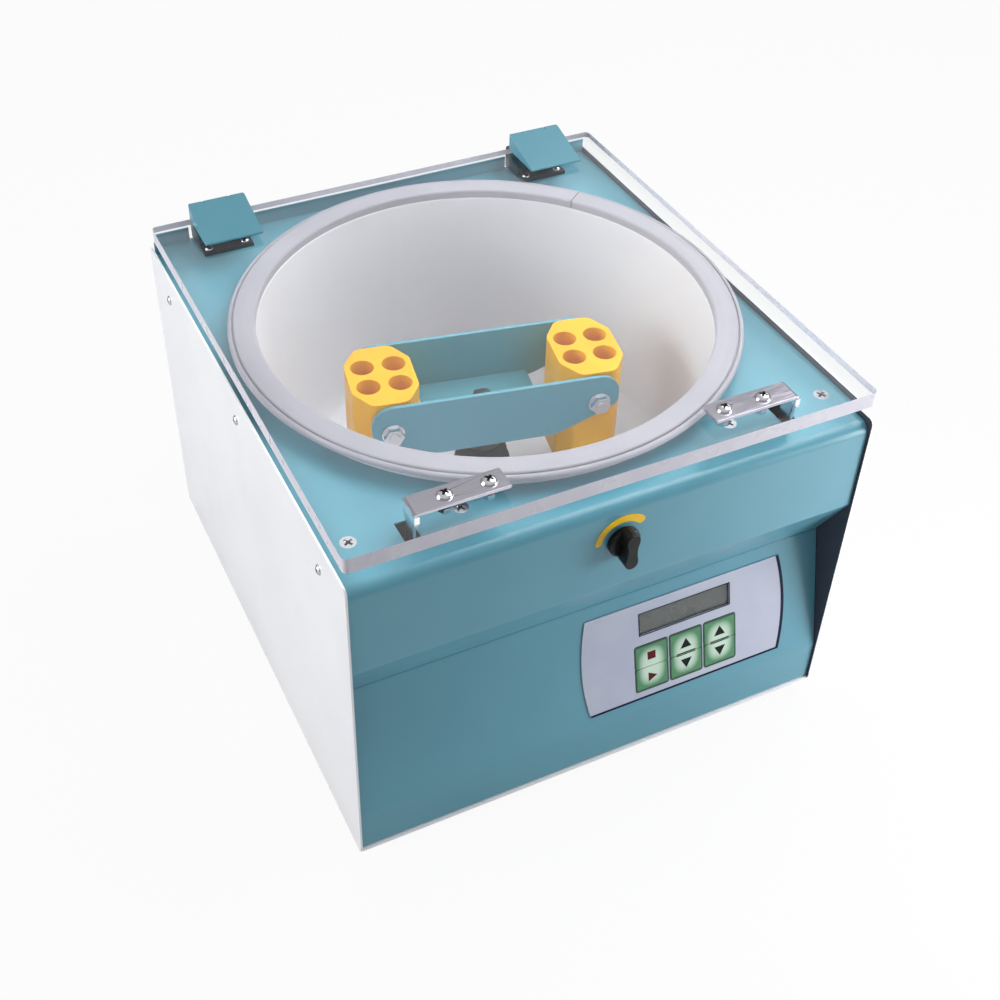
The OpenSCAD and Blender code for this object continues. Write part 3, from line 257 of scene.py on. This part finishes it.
MATERIALS = {
    "white": enamel("white_enamel", srgb(244, 244, 246), srgb(238, 239, 243)),
    # Dark purple-grey for the side panels' inner faces: partly a darker paint, partly painted shade
    "inner": enamel("dark_enamel_with_painted_shade", srgb(68, 68, 82), srgb(60, 60, 74), (0.5, 0.6)),
    "teal": enamel("teal_enamel", srgb(95, 158, 176), srgb(91, 153, 172)),
    "bowl": enamel("bowl_enamel", srgb(228, 227, 232), srgb(222, 221, 228), (0.36, 0.46)),
    "rim": Finish("rim_plastic", srgb(170, 167, 177), 0.42).mottle(srgb(163, 160, 171), 8)
    .gloss(0.38, 0.48).grain(900, 0.00006, 0.3).material,
    "acrylic": clear_acrylic(),
    "lid_edge": lid_edge(),
    "polished": Finish("polished_steel", srgb(208, 205, 216), 0.16, 1.0)
    .gloss(0.10, 0.24, 30, 4, (2, 40, 2)).grain(160, 0.00002, 0.2, 3, (1, 25, 1)).material,
    "bright": Finish("bright_fasteners", srgb(228, 227, 232), 0.12, 1.0)
    .gloss(0.10, 0.2, 300).grain(900, 0.00002, 0.15).material,
    # Near-black walls for the screws' cross recesses: painted shade, the same metal darkened where shade
    # falls
    "recess": Finish("painted_recess_shade", srgb(26, 26, 29), 0.5, 0.4).mottle(srgb(40, 40, 44), 900)
    .gloss(0.35, 0.6, 600).material,
    "print": Finish("dark_print", srgb(8, 8, 10), 0.5, Specular_IOR_Level=0.2)
    .mottle(srgb(16, 16, 19), 300).grain(3000, 0.00003, 0.2).material,
    "red_print": Finish("red_print", srgb(92, 14, 20), 0.5, Specular_IOR_Level=0.2)
    .mottle(srgb(80, 10, 16), 300).grain(3000, 0.00003, 0.2).material,
    "navy_line": Finish("navy_line", srgb(10, 18, 48), 0.5, Specular_IOR_Level=0.2)
    .mottle(srgb(16, 26, 58), 200).grain(3000, 0.00003, 0.2).material,
    "zinc": Finish("zinc_steel", srgb(176, 178, 182), 0.34, 1.0)
    .mottle(srgb(160, 163, 172), 60).gloss(0.28, 0.42, 80).material,
    "ground": Finish("ground_steel", srgb(190, 190, 194), 0.22, 1.0)
    .gloss(0.18, 0.3, 60, 2, (1, 1, 30)).material,
    "blackened": Finish("black_metal", srgb(38, 38, 42), 0.38, Coat_Weight=0.2)
    .mottle(srgb(48, 48, 53), 40).gloss(0.3, 0.46, 120).grain(1500, 0.00005, 0.3).material,
    "black": Finish("black_plastic", srgb(9, 8, 9), 0.42, Specular_IOR_Level=0.3)
    .mottle(srgb(15, 14, 15), 60).gloss(0.3, 0.42, 90).grain(2500, 0.00005, 0.35).material,
    "yellow": Finish("yellow_plastic", srgb(248, 184, 20), 0.38, Specular_IOR_Level=0.35,
                     Subsurface_Weight=0.08, Subsurface_Radius=(0.006, 0.003, 0.001))
    .mottle(srgb(243, 174, 18), 18).gloss(0.32, 0.44, 50).grain(1200, 0.00005, 0.25).material,
    "yellow_print": Finish("yellow_print", srgb(255, 206, 34), 0.5).mottle(srgb(252, 200, 28), 90)
    .grain(3000, 0.00003, 0.2).material,
    "board": Finish("circuit_board", srgb(30, 92, 58), 0.4).mottle(srgb(46, 122, 76), 120, 1)
    .gloss(0.3, 0.5, 200).material,
    "rubber": Finish("black_rubber", srgb(40, 40, 42), 0.75).mottle(srgb(52, 52, 54), 50)
    .grain(1800, 0.0001, 0.4).material,
    "iron": Finish("grey_cast_iron", srgb(92, 95, 98), 0.6).mottle(srgb(78, 81, 85), 90)
    .grain(500, 0.0003, 0.5).material,
    "laminated": Finish("laminated_steel", srgb(120, 112, 104), 0.5, 0.6)
    .mottle(srgb(84, 78, 72), 30, 1, 0.4, 0.6, (0.1, 0.1, 60)).gloss(0.4, 0.6, 90).material,
    "brass": Finish("turned_brass", srgb(202, 168, 98), 0.26, 1.0)
    .gloss(0.2, 0.36, 60, 2, (1, 30, 1)).material,
}


def keypad_film():
    """The keypad's matt lavender film."""
    f = Finish("keypad_film", srgb(189, 194, 210), 0.42, Coat_Weight=0.1)
    return f.mottle(srgb(179, 185, 206), 12).gloss(0.36, 0.48, 60).grain(2200, 0.00004, 0.3).material


def tile_print(name, middle):
    """A green key print round a tile's middle: pale in the middle, dark at the outline."""
    f = Finish(name, srgb(120, 196, 140), 0.42, Coat_Weight=0.15)
    u = f.math("ABSOLUTE", f.along(PAD_RIGHT, middle))
    v = f.math("ABSOLUTE", f.along(PAD_UP, middle))
    across = f.math("DIVIDE", u, KEY_W / 2)
    along = f.math("DIVIDE", v, KEY_ROW + KEY_H / 2)
    square = f.math("ADD", f.math("POWER", across, 2.6), f.math("POWER", along, 3.2))
    wander = f.math("ADD", square, f.math("MULTIPLY", f.noise(260, 2), 0.05))
    centre = f.between(wander, 0, 1, 0.0, 0.72)
    green = f.blend(centre, srgb(204, 228, 210), srgb(72, 138, 94))
    edge = f.math("MAXIMUM", across, along)
    rim = f.between(edge, 0, 1, 0.88, 0.95)
    f.link(f.blend(rim, green, srgb(34, 66, 52)), "Base Color")
    return f.gloss(0.36, 0.5, 60).grain(2200, 0.00004, 0.3).material


def display_face():
    """The display's grey face with the faint cells of two rows of sixteen characters."""
    f = Finish("display_face", srgb(54, 58, 57), 0.3)
    u = f.along(PAD_RIGHT, PAD_MIDDLE + PAD_UP * WINDOW_V)
    v = f.along(PAD_UP, PAD_MIDDLE + PAD_UP * WINDOW_V)
    cell_u, cell_v = (
        f.math("ABSOLUTE", f.math("SUBTRACT", f.math("FRACT", f.math("DIVIDE", place, pitch)), 0.5))
        for place, pitch in ((u, CELL_W), (v, CELL_H)))
    cell = f.math("MAXIMUM", cell_u, cell_v)
    fac = f.between(cell, 0, 0.4, 0.42, 0.48)
    f.link(f.blend(fac, f.colour, srgb(59, 63, 61)), "Base Color")
    return f.gloss(0.25, 0.35, 50).material


def window_glass():
    """The clear pane over the display."""
    f = Finish("display_glass", (0.9, 0.92, 0.92, 1), 0.04, Transmission_Weight=1.0, IOR=1.45)
    return f.clear_to_lamps((0.85, 0.87, 0.86, 1)).material


MATERIALS["film"] = keypad_film()
MATERIALS["face"] = display_face()
MATERIALS["window"] = window_glass()

# Every CAD node but the keys: its finish, and the width in mm of the rounding on its copy's edges
NODE_FINISH = {
    "white": {"side_panel_left": 0.35, "side_panel_right": 0.35, "base_plate": 0.3},
    "teal": {"top_panel": 0.3, "front_panel": 0.3, "rear_panel": 0.3, "hinge_cover_left": 0.8,
             "hinge_cover_right": 0.8, "rotor_yoke": 0.6},
    "bowl": {"bowl": 0.3},
    "rim": {"rim_seal": 0.2},
    "acrylic": {"lid_plate": 0.7},
    "polished": {"latch_bracket_left": 0.4, "latch_bracket_right": 0.4},
    "bright": {"bracket_bolts": 0.2, "leaf_bolts": 0, "hinge_screws": 0.2, "top_screws": 0.1,
               "side_screws": 0.2, "pivot_bolts": 0.3, "hinge_pins": 0},
    "blackened": {"hinge_bases": 0.4, "hinge_leaves": 0.4, "rotor_hub": 0.3, "rotor_nut": 0.3},
    "black": {"lock_knob": 0.9, "lid_switch": 0, "power_inlet": 0.3, "fuse_holder": 0.3,
              "switch_frame": 0.3, "power_rocker": 0.3},
    "yellow": {"bucket_left": 1.0, "bucket_right": 1.0},
    "yellow_print": {"lock_scale": 0},
    "film": {"keypad_sheet": 0.12},
    "window": {"display_window": 0},
    "face": {"display_module": 0},
    "board": {"control_board": 0, "drive_board": 0},
    "rubber": {"feet": 0.5, "dampers": 0, "shaft_seal": 0.4},
    "iron": {"motor_housing": 0, "motor_cap": 0},
    "laminated": {"stator": 0, "armature": 0},
    "ground": {"bearings": 0, "motor_shaft": 0},
    "zinc": {"latch_bar": 0.2, "latch_guides": 0.2, "motor_plate": 0, "knob_shaft": 0},
    "brass": {"knob_bush": 0},
}
KEY_ROUNDING = 0.12

# Nodes whose bores a joined face would close
BORED_PLATES = {"latch_bracket_left", "latch_bracket_right"}
BODY_OF = {n: body for body, names in frame["record"]["behaviour"]["bodies"].items() for n in names}


def linked(name, mesh, materials):
    """A new object in the scene, with this mesh and these materials."""
    piece = bpy.data.objects.new(name, mesh)
    bpy.context.scene.collection.objects.link(piece)
    mesh.materials.clear()
    for m in materials:
        mesh.materials.append(m)
    return piece


def apply_modifiers(piece):
    """The piece keeps the mesh that its modifiers give."""
    graph = bpy.context.evaluated_depsgraph_get()
    piece.data = bpy.data.meshes.new_from_object(piece.evaluated_get(graph))
    piece.modifiers.clear()


def joined(bm, rings):
    """A closed solid through loops of points with the same order."""
    rings = [[bm.verts.new(p) for p in ring] for ring in rings]
    bm.faces.new(rings[0][::-1])
    bm.faces.new(rings[-1])
    for low, high in zip(rings, rings[1:]):
        for i in range(len(low)):
            j = (i + 1) % len(low)
            bm.faces.new((low[i], low[j], high[j], high[i]))


def mesh_of(bm, name):
    mesh = bpy.data.meshes.new(name)
    bm.to_mesh(mesh)
    bm.free()
    return mesh


def cross_shape(length, width):
    """The outline of a cross, counter-clockwise."""
    l, w = length / 2, width / 2
    return [(l, -w), (l, w), (w, w), (w, l), (-w, l), (-w, w), (-l, w), (-l, -w), (-w, -w), (-w, -l),
            (w, -l), (w, -w)]


def recess_cutter(node):
    """What a cross-point driver's tip would fill in each screw head of a node; its near-black finish goes
    onto the cut faces as painted shade.
    """
    places, turn, length, width, depth = RECESSES[node]
    bm = bmesh.new()
    for place in places:
        axes = Matrix.Rotation(math.radians(turn), 4, "Z")
        if node in SIDEWAYS:
            axes = Matrix.Rotation(math.copysign(math.pi / 2, place[0]), 4, "Y") @ axes
        axes = Matrix.Translation(place) @ axes
        levels = ((RECESS_FOOT, -depth), (1.0, 0.0), (1.0, ABOVE_HEAD))
        joined(bm, [[axes @ Vector((x, y, height)) for x, y in cross_shape(length * scale, width * scale)]
                    for scale, height in levels])
    return linked("recesses", mesh_of(bm, "recesses"), [MATERIALS["recess"]])


def joined_faces(node):
    """A copy of a CAD node's mesh with its flat faces whole."""
    mesh = frame["nodes"][node].data.copy()
    if "custom_normal" in mesh.attributes:
        mesh.attributes.remove(mesh.attributes["custom_normal"])
    bm = bmesh.new()
    bm.from_mesh(mesh)
    bmesh.ops.remove_doubles(bm, verts=bm.verts, dist=WELD)
    if node not in BORED_PLATES:
        bmesh.ops.dissolve_limit(bm, angle_limit=math.radians(JOIN_ANGLE), verts=bm.verts, edges=bm.edges,
                                 delimit={"NORMAL"})
    bm.to_mesh(mesh)
    bm.free()
    return mesh


def dressed(node, material, rounding):
    """A copy of a CAD node with rounded edges, and its screws' recesses painted near black as shade, which
    stands for it.
    """
    piece = linked("dressed_" + node, joined_faces(node), [material])
    if node in RECESSES:
        cutter = recess_cutter(node)
        cut = piece.modifiers.new("recesses", "BOOLEAN")
        cut.operation, cut.solver, cut.object = "DIFFERENCE", "EXACT", cutter
        # The cut faces take the cutter's near-black finish: painted shade in the recesses
        cut.material_mode = "TRANSFER"
        apply_modifiers(piece)
        bpy.data.objects.remove(cutter)
    bevel = piece.modifiers.new("rounding", "BEVEL")
    bevel.width = rounding * MM
    bevel.segments = 2
    bevel.limit_method = "ANGLE"
    bevel.angle_limit = math.radians(ROUND_ANGLE)
    bevel.miter_outer = "MITER_ARC"
    apply_modifiers(piece)
    piece.data.shade_smooth()
    piece.data.set_sharp_from_angle(angle=math.radians(SMOOTH_ANGLE))
    piece.modifiers.new("flat_faces", "WEIGHTED_NORMAL").keep_sharp = True
    apply_modifiers(piece)
    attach(piece, BODY_OF[node])
    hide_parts(node)
    return piece


def dress_nodes():
    """Every CAD node gets its finish, on a copy with rounded edges where it has a rounding."""
    pieces = {}
    for finish, nodes in NODE_FINISH.items():
        for node, rounding in nodes.items():
            if rounding:
                pieces[node] = dressed(node, MATERIALS[finish], rounding)
            else:
                mesh = frame["nodes"][node].data
                mesh.materials.clear()
                mesh.materials.append(MATERIALS[finish])
    return pieces


def dress_keys():
    """The keys of a column share one green print."""
    tiles = ((-1, ("stop", "start")), (0, ("time_up", "time_down")), (1, ("speed_up", "speed_down")))
    for column, keys in tiles:
        middle = PAD_MIDDLE + PAD_UP * KEYS_V + PAD_RIGHT * column * KEY_COLUMN
        tile = tile_print("green_key_print_%d" % (column + 1), middle)
        for key in keys:
            dressed("key_" + key, tile, KEY_ROUNDING)


def darken_inner_faces(pieces):
    """The inner faces of the white side panels get a dark purple-grey, partly their paint and partly
    painted shade.
    """
    for node, side in (("side_panel_left", -1), ("side_panel_right", 1)):
        mesh = pieces[node].data
        mesh.materials.append(MATERIALS["inner"])
        for face in mesh.polygons:
            if face.normal.x * side < -FACES_INWARD:
                face.material_index = 1


def pale_lid_edges(pieces):
    """The lid's outer edges get the pale finish, partly frosting and partly painted highlight; its bores
    and slots stay clear.
    """
    mesh = pieces["lid_plate"].data
    mesh.materials.append(MATERIALS["lid_edge"])
    low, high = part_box("lid_plate")
    for face in mesh.polygons:
        c = face.center
        outside = min(c.x - low[0], high[0] - c.x, c.y - low[1], high[1] - c.y)
        if outside < LID_EDGE_BAND and abs(face.normal.z) < EDGE_UPWARD:
            face.material_index = 1


# Prints on the keypad, and the navy line along its edges

def on_pad(u, v, out):
    """The point that lies right, up and out from the middle of the keypad's back."""
    return PAD_MIDDLE + PAD_RIGHT * u + PAD_UP * v + PAD_OUT * out


def flat_print(name, body, material, shapes, out):
    """A print as thin solids on the keypad: shapes are loops of (u, v) in metres."""
    bm = bmesh.new()
    for shape in shapes:
        levels = (out - PRINT_T / 2, out + PRINT_T)
        joined(bm, [[on_pad(u, v, level) for u, v in shape] for level in levels])
    bmesh.ops.recalc_face_normals(bm, faces=bm.faces)
    piece = linked(name, mesh_of(bm, name), [MATERIALS[material]])
    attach(piece, body)


def rectangle(u, v, w, h):
    """The corners of a rectangle round the point (u, v)."""
    return [(u - w / 2, v - h / 2), (u + w / 2, v - h / 2), (u + w / 2, v + h / 2), (u - w / 2, v + h / 2)]


def print_keys():
    """Arrows on the time and speed keys, a square on the stop key and a triangle on the start key."""
    for column, name in ((0, "time"), (1, "speed")):
        u = column * KEY_COLUMN
        for side, turn in (("up", 1), ("down", -1)):
            base, tip = KEYS_V + turn * ARROW_BASE, KEYS_V + turn * ARROW_TIP
            arrow = [(u - ARROW_HALF_W, base), (u + ARROW_HALF_W, base), (u, tip)]
            bar = rectangle(u, KEYS_V + turn * BAR_V, BAR_W, BAR_H)
            key = "key_%s_%s" % (name, side)
            flat_print("print_" + key, key, "print", [arrow[::turn], bar], KEY_TOP)
    u = -KEY_COLUMN
    stop = rectangle(u, KEYS_V + KEY_ROW - SIGN_IN, STOP_SIDE, STOP_SIDE)
    flat_print("print_key_stop", "key_stop", "red_print", [stop], KEY_TOP)
    v = KEYS_V - KEY_ROW + SIGN_IN
    start = [(u - START_BACK, v - START_HALF_H), (u + START_TIP, v), (u - START_BACK, v + START_HALF_H)]
    flat_print("print_key_start", "key_start", "red_print", [start], KEY_TOP)


def print_film():
    """The dark frame round the display, and the blue line along the film's right and lower edges."""
    line = FRAME_LINE
    w, h, v = WINDOW_W / 2 + line / 2, WINDOW_H / 2 + line / 2, WINDOW_V
    frame_bars = [rectangle(0, v + h, 2 * w + line, line), rectangle(0, v - h, 2 * w + line, line),
                  rectangle(w, v, line, 2 * h - line), rectangle(-w, v, line, 2 * h - line)]
    flat_print("print_window_frame", "cabinet", "print", frame_bars, FILM_TOP)
    steps = [2 * i / EDGE_STEPS - 1 for i in range(EDGE_STEPS + 1)]
    outer = [(PAD_W / 2 + PAD_BOW * (1 - t * t), t * PAD_H / 2) for t in steps]
    inner = [(x - EDGE_LINE, y) for x, y in outer]
    bands = [[outer[i], outer[i + 1], inner[i + 1], inner[i]] for i in range(EDGE_STEPS)]
    foot = rectangle(-FOOT_SHORT / 2, -PAD_H / 2 + FOOT_UP, PAD_W - FOOT_SHORT, FOOT_LINE)
    # A thin navy line along the film's right and lower edges
    flat_print("navy_film_edge_line", "cabinet", "navy_line", bands + [foot], FILM_TOP)


# Room, camera and lamps

def make_lamps():
    """Soft rectangular lamps."""
    for name, (place, aim, size, power) in LAMPS.items():
        data = bpy.data.lights.new(name, "AREA")
        data.shape = "RECTANGLE"
        data.size, data.size_y = size
        data.energy = power
        lamp = bpy.data.objects.new(name, data)
        bpy.context.scene.collection.objects.link(lamp)
        lamp.location = place
        lamp.rotation_euler = (Vector(aim) - Vector(place)).to_track_quat("-Z", "Y").to_euler()


def make_camera():
    """The photograph's camera."""
    yaw, pitch, roll = (math.radians(a) for a in (CAMERA_YAW, CAMERA_PITCH, CAMERA_ROLL))
    forward = Vector((math.sin(yaw) * math.cos(pitch), math.cos(yaw) * math.cos(pitch), -math.sin(pitch)))
    right = Vector((math.cos(yaw), -math.sin(yaw), 0))
    up = right.cross(forward)
    across = math.cos(roll) * right + math.sin(roll) * up
    upward = -math.sin(roll) * right + math.cos(roll) * up
    data = bpy.data.cameras.new("camera")
    data.lens, data.sensor_width = CAMERA_LENS, CAMERA_SENSOR
    data.shift_x, data.shift_y = CAMERA_SHIFT
    data.clip_start, data.clip_end = 0.05, 50
    camera = bpy.data.objects.new("camera", data)
    bpy.context.scene.collection.objects.link(camera)
    turn = Matrix((across, upward, -forward)).transposed().to_4x4()
    camera.matrix_world = Matrix.Translation(CAMERA_PLACE) @ turn
    bpy.context.scene.camera = camera


def ray_value(tree, strength, first_kind, second_kind):
    """The strength where a ray of either kind is traced, and zero elsewhere."""
    path = add_node(tree, "ShaderNodeLightPath")
    either = add_node(tree, "ShaderNodeMath", path.outputs[first_kind], path.outputs[second_kind],
                      operation="MAXIMUM")
    return add_node(tree, "ShaderNodeMath", either.outputs[0], strength, operation="MULTIPLY").outputs[0]


def mirrored_sky(tree):
    """What mirrors see: dark at the horizon and bright overhead, as under a studio's ceiling."""
    direction = add_node(tree, "ShaderNodeTexCoord").outputs["Generated"]
    height = add_node(tree, "ShaderNodeSeparateXYZ", direction).outputs[2]
    rise = add_node(tree, "ShaderNodeMapRange", height, *SKY_RISE, *MIRROR_SKY,
                    interpolation_type="SMOOTHSTEP")
    path = add_node(tree, "ShaderNodeLightPath")
    return add_node(tree, "ShaderNodeMath", rise.outputs[0], path.outputs["Is Glossy Ray"],
                    operation="MULTIPLY").outputs[0]


def make_world():
    """A soft ambient light, with plain white where the camera or glass sees it."""
    world = bpy.data.worlds.new("studio")
    world.use_nodes = True
    tree = world.node_tree
    ambient = tree.nodes["Background"]
    ambient.inputs[0].default_value = AMBIENT_TINT
    ambient.inputs[1].default_value = AMBIENT
    plain = ray_value(tree, 1.0, "Is Camera Ray", "Is Transmission Ray")
    seen = add_node(tree, "ShaderNodeMath", plain, mirrored_sky(tree), operation="MAXIMUM")
    white = add_node(tree, "ShaderNodeBackground", (1, 1, 1, 1))
    mix = add_node(tree, "ShaderNodeMixShader", seen.outputs[0], ambient.outputs[0], white.outputs[0])
    tree.links.new(mix.outputs[0], tree.nodes["World Output"].inputs["Surface"])
    bpy.context.scene.world = world


def make_floor():
    """A plain pale floor, which keeps the object's shadow and looks white to the camera and in glass."""
    mesh = bpy.data.meshes.new("floor")
    corners = [(x * FLOOR_HALF, y * FLOOR_HALF, 0) for x, y in ((-1, -1), (1, -1), (1, 1), (-1, 1))]
    mesh.from_pydata(corners, [], [(0, 1, 2, 3)])
    finish = Finish("pale_floor", (0.66, 0.66, 0.67, 1), 0.6).mottle((0.65, 0.65, 0.66, 1), 2)
    glow = finish.node("ShaderNodeEmission")
    seen = ray_value(finish.tree, FLOOR_GLOW, "Is Camera Ray", "Is Transmission Ray")
    mixed = finish.node("ShaderNodeMixShader", seen, finish.shader.outputs[0], glow.outputs[0])
    finish.link(mixed.outputs[0], finish.output.inputs["Surface"])
    linked("floor", mesh, [finish.material])


pieces = dress_nodes()
dress_keys()
darken_inner_faces(pieces)
pale_lid_edges(pieces)
print_keys()
print_film()
make_camera()
make_world()
make_floor()
make_lamps()
bpy.context.scene.view_settings.view_transform = "Standard"
